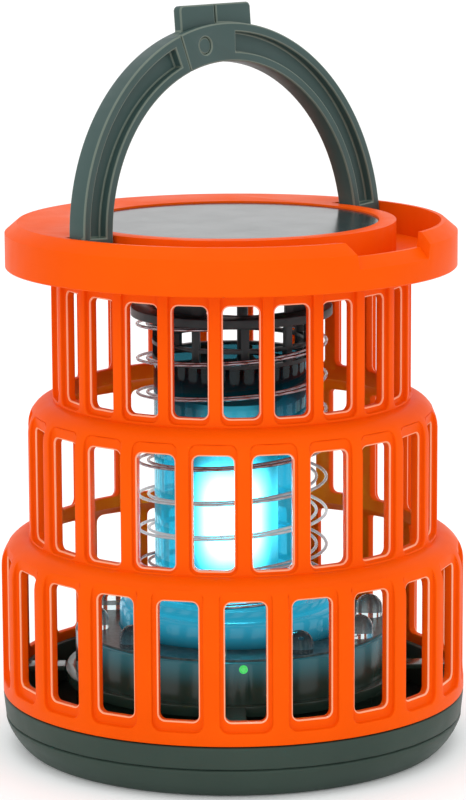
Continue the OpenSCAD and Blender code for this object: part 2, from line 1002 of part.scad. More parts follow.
// Four arms that carry the drum from the grille's foot, clear of the tray's neck
module drum_arms() {
    color(black)
        for (a = [45:90:315])
            rotate([0, 0, a])
                translate([flange_out + 0.05, -3.5, flange_z + flange_h - arm_h])
                    cube([low_r - in_step - flange_out - 0.17, 7, arm_h]);
}

module drum_floor() {
    color(black)
        difference() {
            translate([0, 0, 4.3])
                cylinder(r = drum_r - 2.1, h = 2);
            for (a = [0:90:270])
                rotate([0, 0, a])
                    translate([drum_r - 5, 0, 0]) {
                        cylinder(r = screw_r + 0.2, h = 9);
                        cylinder(r = head_r + 0.1, h = 4.3 + head_h);
                    }
        }
}

module drum_screws() {
    color(steel)
        for (a = [0:90:270])
            rotate([0, 0, a])
                translate([drum_r - 5, 0, 0])
                    screw(4.3, 7);
}

module led_board() {
    color(black)
        ring(boss_r + 0.4, drum_r - 1.2, drum_top, 0.6);
}

module lamp_domes() {
    base_h = 2.4;
    color(white)
        for (i = [0:domes - 1])
            rotate([0, 0, crown_first + (i + 0.5) * 360 / domes])
                translate([dome_ring_r, 0, drum_top + 0.6]) {
                    cylinder(r = dome_r, h = base_h);
                    translate([0, 0, base_h])
                        intersection() {
                            sphere(r = dome_r);
                            translate([0, 0, -0.5])
                                cylinder(r = dome_r + 1, h = dome_r + 1);
                        }
                }
}

module status_led() {
    color([0.2, 0.9, 0.4])
        rotate([0, 0, 228.5])
            translate([drum_r - 3.5, 0, drum_top - 1.8])
                rotate([0, 90, 0]) {
                    cylinder(r = 1.2, h = 3.7);
                    translate([0, 0, 3.5])
                        cylinder(r1 = 1.2, r2 = 0.7, h = 0.6);
                }
}

module battery() {
    color([0.2, 0.45, 0.75])
        translate([0, 0, cell_z])
            rotate([0, 90, 0])
                cylinder(r = cell_r, h = cell_l, center = true);
}

// Cradle under the cell, with an end plate at each terminal
module battery_cradle() {
    color(black)
        difference() {
            translate([-cell_l / 2 - 2, -8, 6.35])
                cube([cell_l + 4, 16, cell_z - 6.35]);
            translate([0, 0, cell_z])
                rotate([0, 90, 0])
                    cylinder(r = cell_r + 0.1, h = cell_l + 0.2, center = true);
        }
}

module drive_board() {
    color(green_board)
        translate([0, 0, drum_top - 2.05 - board_t])
            cylinder(r = 38, h = board_t);
}

base_bowl();
base_ring();
neck_seal();
rubber_feet();
grille_foot();
grille_low_bars();
grille_low_shoulder();
grille_mid_bars();
grille_mid_shoulder();
grille_top_bars();
grille_top_band();
grille_screws();
cap_floor();
cap_shell();
cap_screws();
solar_panel();
panel_gasket();
main_board();
usb_port();
tact_switch();
mode_button();
port_cover();
cover_pin();
pivot_pins();
handle_right();
handle_left();
clasp_pin();
crown_plate();
crown();
grid_head();
grid_foot();
grid_wire_live();
grid_wire_return();
light_tube();
lamp_socket();
lamp_diffuser();
lamp_cap();
lamp_board();
uv_leds();
lamp_stem();
drum();
drum_boss();
drum_flange();
drum_arms();
drum_floor();
drum_screws();
led_board();
lamp_domes();
status_led();
battery();
battery_cradle();
drive_board();
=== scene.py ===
"""Looks of a lantern-shaped electric bug zapper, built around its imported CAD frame.

Work is in millimetres, in the frame's own axes, and each mesh is scaled to metres as it is made.
"""

import json
import math

import bmesh
import bpy
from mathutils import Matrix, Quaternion, Vector

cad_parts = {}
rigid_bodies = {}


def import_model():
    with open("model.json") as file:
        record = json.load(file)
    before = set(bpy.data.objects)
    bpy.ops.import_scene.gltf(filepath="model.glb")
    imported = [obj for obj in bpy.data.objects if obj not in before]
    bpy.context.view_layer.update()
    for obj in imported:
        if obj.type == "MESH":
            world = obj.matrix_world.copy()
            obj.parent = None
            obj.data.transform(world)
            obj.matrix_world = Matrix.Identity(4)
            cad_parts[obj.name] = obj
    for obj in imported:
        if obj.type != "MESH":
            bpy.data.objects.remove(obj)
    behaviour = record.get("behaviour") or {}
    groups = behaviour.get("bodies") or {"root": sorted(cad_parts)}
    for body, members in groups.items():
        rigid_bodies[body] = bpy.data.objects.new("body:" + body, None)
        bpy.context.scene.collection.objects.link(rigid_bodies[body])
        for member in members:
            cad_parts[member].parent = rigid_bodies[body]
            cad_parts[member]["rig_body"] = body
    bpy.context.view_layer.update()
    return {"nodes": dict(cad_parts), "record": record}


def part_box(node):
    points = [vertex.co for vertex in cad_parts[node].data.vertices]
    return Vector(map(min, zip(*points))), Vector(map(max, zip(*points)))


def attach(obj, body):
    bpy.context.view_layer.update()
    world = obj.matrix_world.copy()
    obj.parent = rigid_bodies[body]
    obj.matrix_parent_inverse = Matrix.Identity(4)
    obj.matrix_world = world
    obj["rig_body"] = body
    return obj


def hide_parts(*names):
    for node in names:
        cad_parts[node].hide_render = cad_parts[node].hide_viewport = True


for leftover in list(bpy.data.objects):
    bpy.data.objects.remove(leftover)

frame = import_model()
scene = bpy.context.scene
MM = 0.001


# ---------------------------------------------------------------- sizes from the frame

def low(node):
    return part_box(node)[0] / MM


def high(node):
    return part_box(node)[1] / MM


def reach(node):
    """Radius of a round node about the Z axis."""
    a, b = low(node), high(node)
    return max(-a.x, -a.y, b.x, b.y)


LOW_R = reach("grille_foot")
MID_R = reach("grille_mid_bars")
TOP_R = reach("grille_top_bars")
FOOT_Z = low("grille_foot").z
CAP_Z = high("grille_top_band").z
TUBE_TOP = high("light_tube").z

# The lamp: its chips' middle above its foot, how far its light spreads, and where its board faces
CHIPS_UP = 19
LAMP_Z = low("lamp_diffuser").z + CHIPS_UP
LAMP_SPREAD = 17.5
LAMP_BOARD_DEG = 45

# The grille's own rules, which its boxes don't tell: its windows, its walls, the groove that the
# base's lugs turn in, and the circle of its screw bosses
WINDOWS = 22
FIRST_WINDOW = math.radians(228)
WINDOW_CORNER = 1.8
PART_IN = 2.4
RIB_H = 1.9
PANEL_T = 2.2
WALL = RIB_H + PANEL_T
SHOULDER_H = 9.0
TRACK = (17.0, 19.0)
TRACK_R = 65.0
BOSS_RING_R = 42.6

# Heights of the windows' ends: the CAD nodes of the bars stop short of them by PART_IN
LOW_SILL = low("grille_low_bars").z - PART_IN
LOW_HEAD = high("grille_low_bars").z + PART_IN
MID_SILL = low("grille_mid_bars").z - PART_IN
MID_HEAD = high("grille_mid_bars").z + PART_IN
TOP_SILL = low("grille_top_bars").z - PART_IN
TOP_HEAD = high("grille_top_bars").z + PART_IN

# Each upper tier starts a little below its windows
MID_Z = MID_SILL - 1.2
TOP_Z = TOP_SILL - 2.2

# The wire coils follow the CAD's: wire radius, where they start, and their pitch
WIRE_R = 0.45
COIL_START_DEG = 214.6
COIL_PITCH = 10

# Rounding a CAD node's edges: the least angle of an edge, the steps in a curve, the angle up to which
# faces count as flat, and the distance within which points are one
ROUND_FROM_DEG = 30
ROUND_STEPS = 3
FLAT_DEG = 0.6
SAME_POINT = 0.001


# ---------------------------------------------------------------- camera and light

def make_camera():
    """Stands off the -X -Y side, a little above the cap, as a product shot does."""
    distance, height, pitch = 957.0, 275.0, math.radians(10.35)
    data = bpy.data.cameras.new("camera")
    data.sensor_width = 36
    data.lens = 151.7
    data.clip_end = 20
    data.shift_x = 0.00125
    cam = bpy.data.objects.new("camera", data)
    scene.collection.objects.link(cam)
    flat = distance * MM / math.sqrt(2)
    cam.location = (-flat, -flat, height * MM)
    level = 1 / math.sqrt(2)
    aim = Vector((level * math.cos(pitch), level * math.cos(pitch), -math.sin(pitch)))
    cam.rotation_mode = "QUATERNION"
    roll = Quaternion((0, 0, 1), math.radians(-0.3))
    cam.rotation_quaternion = aim.to_track_quat("-Z", "Y") @ roll
    scene.camera = cam


def area_light(name, place, size, power):
    """A white lamp with a rectangular face, aimed at the lantern's middle."""
    middle = Vector((0, 0, 0.1))
    data = bpy.data.lights.new(name, "AREA")
    data.shape = "RECTANGLE"
    data.size, data.size_y = size
    data.energy = power
    lamp = bpy.data.objects.new(name, data)
    lamp.location = place
    lamp.rotation_mode = "QUATERNION"
    lamp.rotation_quaternion = (middle - Vector(place)).to_track_quat("-Z", "Y")
    scene.collection.objects.link(lamp)


def make_studio():
    """White surroundings, three soft lamps and a pale floor, all placed in metres."""
    world = bpy.data.worlds.new("studio")
    scene.world = world
    world.use_nodes = True
    back = world.node_tree.nodes["Background"]
    back.inputs["Color"].default_value = (1, 1, 1, 1)
    back.inputs["Strength"].default_value = 1.05
    area_light("overhead", (-0.1, -0.1, 0.95), (0.9, 0.9), 1.5)
    area_light("front", (-0.95, -0.62, 0.42), (0.55, 0.8), 1.2)
    area_light("side", (0.45, -0.95, 0.35), (0.4, 0.8), 0.5)
    scene.view_settings.view_transform = "Standard"

    bm = bmesh.new()
    bmesh.ops.create_grid(bm, x_segments=8, y_segments=8, size=3)
    add_mesh("floor", bm, None, FLOOR, unit=1)


# ---------------------------------------------------------------- mesh helpers

MAIN, TRIM = 0, 1


def add_mesh(name, bm, body, material, unit=MM, smooth=40, trim=None):
    """Turns a bmesh into an object on a body. Faces of index TRIM get the trim material."""
    bmesh.ops.scale(bm, vec=(unit, unit, unit), verts=bm.verts)
    bmesh.ops.recalc_face_normals(bm, faces=bm.faces)
    mesh = bpy.data.meshes.new(name)
    bm.to_mesh(mesh)
    bm.free()
    return add_object(name, mesh, body, material, smooth, trim)


def add_object(name, mesh, body, material, smooth, trim):
    """Shades a mesh smooth, up to an angle if one is given, and puts it in the scene on a body."""
    obj = bpy.data.objects.new(name, mesh)
    scene.collection.objects.link(obj)
    mesh.materials.append(material)
    if trim:
        mesh.materials.append(trim)
    mesh.shade_smooth()
    if smooth:
        mesh.set_sharp_from_angle(angle=math.radians(smooth))
    if body:
        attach(obj, body)
    return obj


def soften(node, width, material, trim=None, merge=None):
    """A CAD node as a new piece with its edges rounded over, and the rounded edges given the trim material
    if one is given: on the handle that trim is a painted highlight.

    A merge distance joins near points first, and then the rounding isn't clamped.
    """
    source = frame["nodes"][node]
    bm = bmesh.new()
    bm.from_mesh(source.data)
    bmesh.ops.remove_doubles(bm, verts=bm.verts, dist=(merge or SAME_POINT) * MM)
    bmesh.ops.dissolve_limit(bm, angle_limit=math.radians(FLAT_DEG), verts=bm.verts, edges=bm.edges)
    mesh = bpy.data.meshes.new(node + "_shaped")
    bm.to_mesh(mesh)
    bm.free()
    piece = add_object(node + "_shaped", mesh, source["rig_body"], material, smooth=0, trim=trim)
    bevel = piece.modifiers.new("round_edges", "BEVEL")
    bevel.limit_method = "ANGLE"
    bevel.angle_limit = math.radians(ROUND_FROM_DEG)
    bevel.width = width * MM
    bevel.segments = ROUND_STEPS
    bevel.use_clamp_overlap = merge is None
    bevel.harden_normals = True
    if trim:
        bevel.material = TRIM
    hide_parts(node)


def bridge(bm, a, b, index=MAIN):
    """Quads between two closed loops of the same length."""
    n = len(a)
    for k in range(n):
        corners = [a[k], a[(k + 1) % n], b[(k + 1) % n], b[k]]
        bm.faces.new(corners).material_index = index


def directions(angle):
    """Unit vectors outward and sideways at an angle about the Z axis."""
    out = Vector((math.cos(angle), math.sin(angle), 0))
    along = Vector((-math.sin(angle), math.cos(angle), 0))
    return out, along


# ---------------------------------------------------------------- materials

def new_material(name):
    material = bpy.data.materials.new(name)
    material.use_nodes = True
    tree = material.node_tree
    return material, tree, tree.nodes["Principled BSDF"]


def link(tree, a, out, b, socket):
    tree.links.new(a.outputs[out], b.inputs[socket])


def object_coords(tree):
    return tree.nodes.new("ShaderNodeTexCoord")


def noise(tree, coords, scale, detail=4.0, roughness=0.6):
    node = tree.nodes.new("ShaderNodeTexNoise")
    node.inputs["Scale"].default_value = scale
    node.inputs["Detail"].default_value = detail
    node.inputs["Roughness"].default_value = roughness
    link(tree, coords, "Object", node, "Vector")
    return node


def ramp(tree, source, out, stops):
    node = tree.nodes.new("ShaderNodeValToRGB")
    node.color_ramp.elements[0].position = stops[0][0]
    node.color_ramp.elements[0].color = (*stops[0][1], 1)
    node.color_ramp.elements[1].position = stops[-1][0]
    node.color_ramp.elements[1].color = (*stops[-1][1], 1)
    for place, colour in stops[1:-1]:
        node.color_ramp.elements.new(place).color = (*colour, 1)
    link(tree, source, out, node, "Fac")
    return node


def bump(tree, shader, height, out, strength, distance):
    node = tree.nodes.new("ShaderNodeBump")
    node.inputs["Strength"].default_value = strength
    node.inputs["Distance"].default_value = distance
    link(tree, height, out, node, "Height")
    link(tree, node, "Normal", shader, "Normal")


# The part of a noise texture's values that is used: it seldom goes past these
NOISE_LOW, NOISE_HIGH = 0.3, 0.7


def varied(tree, source, low_value, high_value, shader, socket):
    """Drives a shader's value from a noise texture, between two levels."""
    node = tree.nodes.new("ShaderNodeMapRange")
    node.inputs["From Min"].default_value = NOISE_LOW
    node.inputs["From Max"].default_value = NOISE_HIGH
    node.inputs["To Min"].default_value = low_value
    node.inputs["To Max"].default_value = high_value
    link(tree, source, "Fac", node, "Value")
    link(tree, node, "Result", shader, socket)


def tinted(tree, source, dark, light, shader):
    """Drives a shader's colour from a noise texture, between two colours."""
    tint = ramp(tree, source, "Fac", [(NOISE_LOW, dark), (NOISE_HIGH, light)])
    link(tree, tint, "Color", shader, "Base Color")


def darker(colour):
    return tuple(c * 0.8 for c in colour)


def scaled(tree, coords, stretch):
    node = tree.nodes.new("ShaderNodeMapping")
    node.inputs["Scale"].default_value = stretch
    link(tree, coords, "Object", node, "Vector")
    return node


def eased(tree, source, out, first, last, start, stop):
    """A value that eases from start to stop between two distances in millimetres."""
    node = tree.nodes.new("ShaderNodeMapRange")
    node.interpolation_type = "SMOOTHSTEP"
    node.inputs["From Min"].default_value = first * MM
    node.inputs["From Max"].default_value = last * MM
    node.inputs["To Min"].default_value = start
    node.inputs["To Max"].default_value = stop
    link(tree, source, out, node, "Value")
    return node


def height_in(tree, coords, bottom, top, start, stop):
    """A value that eases from start to stop between two heights in millimetres."""
    split = tree.nodes.new("ShaderNodeSeparateXYZ")
    link(tree, coords, "Object", split, "Vector")
    return eased(tree, split, "Z", bottom, top, start, stop)


def calculated(tree, operation, source, out, number=None):
    """One step of arithmetic on a value."""
    node = tree.nodes.new("ShaderNodeMath")
    node.operation = operation
    link(tree, source, out, node, 0)
    if number is not None:
        node.inputs[1].default_value = number
    return node


def product(tree, a, b):
    """Two eased values multiplied."""
    node = calculated(tree, "MULTIPLY", a, "Result")
    link(tree, b, "Result", node, 1)
    return node


def along_line(tree, coords, direction):
    """How far a point lies along a line through the origin."""
    node = tree.nodes.new("ShaderNodeVectorMath")
    node.operation = "DOT_PRODUCT"
    node.inputs[1].default_value = direction
    link(tree, coords, "Object", node, 0)
    return node


def fall_off(tree, source, middle, near, far, dim):
    """A value that is 1 up to a near distance from a middle, and eases down to dim at a far one."""
    away = calculated(tree, "SUBTRACT", source, "Value", middle * MM)
    distance = calculated(tree, "ABSOLUTE", away, "Value")
    return eased(tree, distance, "Value", near, far, 1, dim)


def weak_glow(material, colour, strength):
    """A little even light of its own."""
    shader = material.node_tree.nodes["Principled BSDF"]
    shader.inputs["Emission Color"].default_value = (*colour, 1)
    shader.inputs["Emission Strength"].default_value = strength


def graded_glow(tree, shader, colour, bright, span):
    """Painted light, an emission that grows upward or downward: span is (dark height, lit height)."""
    shader.inputs["Emission Color"].default_value = (*colour, 1)
    level = height_in(tree, object_coords(tree), *span, 0, bright)
    link(tree, level, "Result", shader, "Emission Strength")


# ---------------------------------------------------------------- kinds of material

def plastic(name, dark, light, rough, grain, depth, specular=0.5, coat=0.0):
    """Moulded plastic: slow colour drift, uneven gloss and spark-eroded grain."""
    material, tree, shader = new_material(name)
    coords = object_coords(tree)
    tinted(tree, noise(tree, coords, scale=18), dark, light, shader)
    varied(tree, noise(tree, coords, scale=60, detail=6), *rough, shader, "Roughness")
    fine = noise(tree, coords, scale=grain, detail=3)
    bump(tree, shader, fine, "Fac", strength=0.35, distance=depth * MM)
    shader.inputs["Specular IOR Level"].default_value = specular
    shader.inputs["Coat Weight"].default_value = coat
    shader.inputs["Coat Roughness"].default_value = 0.08
    return material


def lit_plastic(name, dark, light, rough, glow_colour, bright, span):
    """Polished plastic with painted lamp light, an emission that grows towards its top. Span is (dark
    height, lit height).
    """
    material = plastic(name, dark, light, rough, grain=500, depth=0.02, specular=0.3, coat=0.1)
    tree = material.node_tree
    graded_glow(tree, tree.nodes["Principled BSDF"], glow_colour, bright, span)
    return material


def metal(name, colour, rough, stretch=(1, 1, 1)):
    """Bright metal with faint drawn streaks."""
    material, tree, shader = new_material(name)
    shader.inputs["Metallic"].default_value = 1
    streak = tree.nodes.new("ShaderNodeTexNoise")
    streak.inputs["Scale"].default_value = 900
    link(tree, scaled(tree, object_coords(tree), stretch), "Vector", streak, "Vector")
    tinted(tree, streak, darker(colour), colour, shader)
    varied(tree, streak, *rough, shader, "Roughness")
    return material


def paint_lamp_glare(material, colour, bright, centre, spread):
    """Paints a lamp's glare on a material: an emission that peaks round one height."""
    tree = material.node_tree
    shader = tree.nodes["Principled BSDF"]
    shader.inputs["Emission Color"].default_value = (*colour, 1)
    coords = object_coords(tree)
    rise = height_in(tree, coords, centre - spread, centre, 0, bright)
    fall = height_in(tree, coords, centre, centre + spread, 1, 0)
    link(tree, product(tree, rise, fall), "Value", shader, "Emission Strength")


def clear_plastic(name, far_painted_colour, near_painted_colour, rough, glow_colour, bright, span):
    """Clear plastic whose colour changes with height from one colour to another, with a glow that grows the
    same way: on the tube both are painted lamp light, lighter and glowing towards the lamp. Span is (far
    height, near height).
    """
    material, tree, shader = new_material(name)
    coords = object_coords(tree)
    depth = height_in(tree, coords, *span, 0, 1)
    tint = ramp(tree, depth, "Result", [(0.1, far_painted_colour), (0.75, near_painted_colour)])
    link(tree, tint, "Color", shader, "Base Color")
    varied(tree, noise(tree, coords, scale=40), *rough, shader, "Roughness")
    shader.inputs["IOR"].default_value = 1.3
    shader.inputs["Transmission Weight"].default_value = 1
    graded_glow(tree, shader, glow_colour, bright, span)
    bump(tree, shader, noise(tree, coords, scale=25), "Fac", strength=0.12, distance=0.3 * MM)
    return material


def lamp_glow(name, colour, dim, peak, centre, spread, board_deg):
    """Frosted lamp, hottest in front of the chips on both faces of a board that looks along board_deg."""
    material, tree, shader = new_material(name)
    coords = object_coords(tree)
    hot_half, chips_half, lamp_half = 0.2 * spread, 3, 11.5
    turn = math.radians(board_deg + 90)
    up = along_line(tree, coords, (0, 0, 1))
    across = along_line(tree, coords, (math.cos(turn), math.sin(turn), 0))
    level = product(tree, fall_off(tree, up, centre, hot_half, spread, dim),
                    fall_off(tree, across, 0, chips_half, lamp_half, dim))
    strength = calculated(tree, "MULTIPLY", level, "Value", peak)
    link(tree, strength, "Value", shader, "Emission Strength")
    shader.inputs["Emission Color"].default_value = (*colour, 1)
    tinted(tree, noise(tree, coords, scale=700), (0.62, 0.74, 0.76), (0.80, 0.88, 0.90), shader)
    shader.inputs["Roughness"].default_value = 0.45
    return material


def steady_glow(name, base, colour, strength, rough):
    """A small lit light: clear resin over a bright chip, with a little unevenness."""
    material, tree, shader = new_material(name)
    spots = noise(tree, object_coords(tree), scale=900, detail=2)
    varied(tree, spots, strength * 0.7, strength, shader, "Emission Strength")
    tinted(tree, spots, darker(base), base, shader)
    shader.inputs["Emission Color"].default_value = (*colour, 1)
    shader.inputs["Roughness"].default_value = rough
    shader.inputs["Coat Weight"].default_value = 0.5
    return material


def solar_glass():
    """Dark cells under glass: a grid of cells and fine silver fingers."""
    material, tree, shader = new_material("solar_cells")
    coords = object_coords(tree)
    cell, gap = 21, 0.22
    cells = tree.nodes.new("ShaderNodeTexBrick")
    cells.offset = 0
    cells.inputs["Scale"].default_value = 1
    cells.inputs["Brick Width"].default_value = cell * MM
    cells.inputs["Row Height"].default_value = cell * MM
    cells.inputs["Mortar Size"].default_value = gap * MM
    cells.inputs["Color1"].default_value = (0.010, 0.021, 0.024, 1)
    cells.inputs["Color2"].default_value = (0.013, 0.026, 0.028, 1)
    cells.inputs["Mortar"].default_value = (0.060, 0.075, 0.072, 1)
    link(tree, coords, "Object", cells, "Vector")
    fingers = tree.nodes.new("ShaderNodeTexWave")
    fingers.inputs["Scale"].default_value = 150
    link(tree, coords, "Object", fingers, "Vector")
    lines = ramp(tree, fingers, "Fac", [(0.90, (0, 0, 0)), (0.98, (1, 1, 1))])
    faint = calculated(tree, "MULTIPLY", lines, "Color", 0.35)
    mix = tree.nodes.new("ShaderNodeMix")
    mix.data_type = "RGBA"
    link(tree, faint, "Value", mix, "Factor")
    link(tree, cells, "Color", mix, "A")
    mix.inputs["B"].default_value = (0.09, 0.11, 0.11, 1)
    link(tree, mix, "Result", shader, "Base Color")
    varied(tree, noise(tree, coords, scale=45, detail=5), 0.12, 0.20, shader, "Roughness")
    shader.inputs["IOR"].default_value = 1.36
    return material


def circuit_board(name, run, mask):
    """Solder mask over paler copper runs."""
    material, tree, shader = new_material(name)
    runs = tree.nodes.new("ShaderNodeTexVoronoi")
    runs.distance = "MANHATTAN"
    runs.feature = "DISTANCE_TO_EDGE"
    runs.inputs["Scale"].default_value = 260
    link(tree, object_coords(tree), "Object", runs, "Vector")
    tint = ramp(tree, runs, "Distance", [(0.05, run), (0.12, mask)])
    link(tree, tint, "Color", shader, "Base Color")
    bump(tree, shader, runs, "Distance", strength=0.3, distance=0.05 * MM)
    shader.inputs["Roughness"].default_value = 0.32
    return material


def cell_wrap():
    """Shrunk sleeve on the battery cell, with fine wrinkles."""
    material, tree, shader = new_material("cell_sleeve")
    wrinkles = noise(tree, object_coords(tree), scale=420, detail=5)
    tinted(tree, wrinkles, (0.02, 0.10, 0.22), (0.03, 0.14, 0.30), shader)
    varied(tree, wrinkles, 0.22, 0.38, shader, "Roughness")
    bump(tree, shader, wrinkles, "Fac", strength=0.4, distance=0.06 * MM)
    return material


# ---------------------------------------------------------------- the materials

ORANGE = plastic("orange_shell", dark=(0.80, 0.080, 0.0008), light=(0.87, 0.096, 0.0015),
                 rough=(0.34, 0.46), grain=2600, depth=0.04, specular=0.03)
# Painted highlight: the pale orange that rims each window stands in for light caught on the rounded window
# edges.
ORANGE_PAINTED_HIGHLIGHT = plastic("orange_edge_painted_highlight", dark=(0.90, 0.30, 0.14), light=(0.96, 0.44, 0.26),
                      rough=(0.30, 0.40), grain=2600, depth=0.04)
SLATE = plastic("slate_grained", dark=(0.032, 0.064, 0.058), light=(0.043, 0.079, 0.074),
                rough=(0.40, 0.55), grain=3200, depth=0.06, specular=0.3)
# Painted highlight: the pale slate on the handle's rounded edges stands in for light caught there.
SLATE_PAINTED_HIGHLIGHT = plastic("slate_edge_painted_highlight", dark=(0.090, 0.124, 0.098), light=(0.115, 0.150, 0.120),
                     rough=(0.36, 0.48), grain=3200, depth=0.04)
# Painted shade: a darker copy of the slate for the base, which is the same plastic as the handle but gets
# less light.
SLATE_PAINTED_SHADE = plastic("slate_base_painted_shade", dark=(0.026, 0.046, 0.036), light=(0.034, 0.058, 0.045),
                     rough=(0.40, 0.55), grain=3200, depth=0.06, specular=0.2)
BLACK = plastic("black_moulded", dark=(0.006, 0.010, 0.012), light=(0.010, 0.016, 0.019),
                rough=(0.30, 0.45), grain=2600, depth=0.05, specular=0.4)
RUBBER = plastic("rubber_matte", dark=(0.014, 0.016, 0.016), light=(0.024, 0.027, 0.027),
                 rough=(0.70, 0.85), grain=2000, depth=0.12, specular=0.3)
FLOOR = plastic("floor_card", dark=(0.965, 0.965, 0.965), light=(0.985, 0.985, 0.985),
                rough=(0.70, 0.80), grain=900, depth=0.05, specular=0.1)
weak_glow(FLOOR, (0.94, 1, 1), 0.07)
# Painted lamp light: the drum and the bosses glow towards their tops, standing in for the lamp's light
# falling on them.
DRUM = lit_plastic("drum_polished_painted_glow", dark=(0.018, 0.038, 0.028), light=(0.026, 0.050, 0.038),
                   rough=(0.16, 0.26), glow_colour=(0.03, 0.30, 0.40), bright=0.25, span=(26, 34))
BOSS = lit_plastic("boss_polished_painted_glow", dark=(0.006, 0.020, 0.024), light=(0.010, 0.030, 0.036),
                   rough=(0.08, 0.16), glow_colour=(0.02, 0.38, 0.58), bright=0.75, span=(32, 42))
# Painted lamp light: the tube is dark far from the lamp and lighter and glowing near it.
TUBE = clear_plastic("tube_clear", far_painted_colour=(0.015, 0.09, 0.12), near_painted_colour=(0.10, 0.44, 0.55),
                     rough=(0.04, 0.07), glow_colour=(0.02, 0.42, 0.56), bright=0.25,
                     span=(TUBE_TOP, LAMP_Z))
# The domes are paler towards their tops, with a faint painted glow of lamp light towards their feet.
DOME = clear_plastic("dome_clear", far_painted_colour=(0.80, 0.90, 0.90), near_painted_colour=(0.66, 0.80, 0.82),
                     rough=(0.02, 0.06), glow_colour=(0.5, 0.85, 1.0), bright=0.03, span=(40, 30))
LAMP = lamp_glow("lamp_lit", (0.50, 0.95, 1.0), dim=0.035, peak=55, centre=LAMP_Z, spread=LAMP_SPREAD,
                 board_deg=LAMP_BOARD_DEG)
GREEN_LIGHT = steady_glow("green_lit", base=(0.03, 0.30, 0.06), colour=(0.06, 0.90, 0.16), strength=0.7,
                          rough=0.15)
# The steel's dark, warm colour is partly the steel's own and partly painted reflection of the orange grille
# around it.
STEEL = metal("steel_wire", (0.36, 0.31, 0.33), rough=(0.12, 0.25))
# Painted lamp light: the coil wires glow pale cyan round the lamp's height.
paint_lamp_glare(STEEL, (0.72, 0.96, 1.0), bright=0.3, centre=LAMP_Z, spread=LAMP_SPREAD)
BOLT = metal("screw_steel", (0.62, 0.62, 0.64), rough=(0.25, 0.42), stretch=(1, 1, 0.1))
SOLAR = solar_glass()
BOARD = circuit_board("circuit_board", run=(0.03, 0.17, 0.07), mask=(0.010, 0.075, 0.030))
LED_BOARD = circuit_board("led_circuit_board", run=(0.03, 0.06, 0.06), mask=(0.008, 0.028, 0.030))
CELL = cell_wrap()


# ---------------------------------------------------------------- the grille, one moulding

# Steps across a window's cell, up it and in half a corner, and columns round the whole grille
ACROSS, UP, CORNER = 12, 26, 3
COLUMNS = WINDOWS * ACROSS


class Tier:
    """One tier of windows. Angles count in columns that all the tiers share.

    radius, upper: of this tier's wall and of the wall above it
    outside, inside: where the flat wall starts and ends on each face
    window, width: heights of the windows' ends, and their width
    flute, margins: the recessed panel's corner, and its reach past a window: sides, below and above
    shoulder: the height where the wall starts to curve in to the upper radius
    phase: how many columns the windows are shifted by
    """

    def __init__(self, radius, upper, outside, inside, window, width, flute, margins, shoulder, phase):
        self.radius, self.upper = radius, upper
        self.outside, self.inside = outside, inside
        self.window, self.width = window, width
        self.flute, self.margins = flute, margins
        self.shoulder, self.phase = shoulder, phase

    def span(self, inside):
        return self.inside if inside else self.outside

    def wall_radius(self, z, inside):
        """Radius of the plain wall at a height, with the shoulder's curve in it."""
        radius = self.radius - (WALL if inside else 0)
        if self.shoulder is None or z <= self.shoulder:
            return radius
        part = min((z - self.shoulder) / shoulder_rise(inside), 1)
        run = self.radius - self.upper
        return radius - run + run * math.sqrt(1 - part * part)


def shoulder_rise(inside):
    return SHOULDER_H - (PANEL_T if inside else 0)


def shoulder_curve(tier, inside):
    """Points (radius, z) from the top of a tier's flat wall to just below the next tier."""
    steps = 7
    rise, run = shoulder_rise(inside), tier.radius - tier.upper
    centre = tier.upper - (WALL if inside else 0)
    start, stop = math.asin((tier.span(inside)[1] - tier.shoulder) / rise), math.pi / 2
    turns = [start + (stop - start) * k / steps for k in range(1, steps)]
    return [(centre + run * math.cos(turn), tier.shoulder + rise * math.sin(turn)) for turn in turns]


def rounded_loop(x0, x1, z0, z1, radius):
    """Points round a rounded rectangle, one for each point of the cell's outer rectangle."""
    least = 0.01
    radius = max(min(radius, (x1 - x0) / 2 - least), least)

    def arc(cx, cz, start, steps):
        return [(cx + radius * math.cos(math.radians(start + 45 * k / CORNER)),
                 cz + radius * math.sin(math.radians(start + 45 * k / CORNER))) for k in steps]

    def straight(a, b, count):
        return [(a[0] + (b[0] - a[0]) * k / count, a[1] + (b[1] - a[1]) * k / count)
                for k in range(1, count)]

    left, right, bottom, top = x0 + radius, x1 - radius, z0 + radius, z1 - radius
    wide, tall = ACROSS - 2 * CORNER, UP - 2 * CORNER
    points = arc(left, bottom, 225, range(CORNER + 1))
    points += straight(points[-1], (right, z0), wide)
    points += arc(right, bottom, 270, range(2 * CORNER + 1))
    points += straight(points[-1], (x1, top), tall)
    points += arc(right, top, 0, range(2 * CORNER + 1))
    points += straight(points[-1], (left, z1), wide)
    points += arc(left, top, 90, range(2 * CORNER + 1))
    points += straight(points[-1], (x0, bottom), tall)
    points += arc(left, bottom, 180, range(CORNER))
    return points


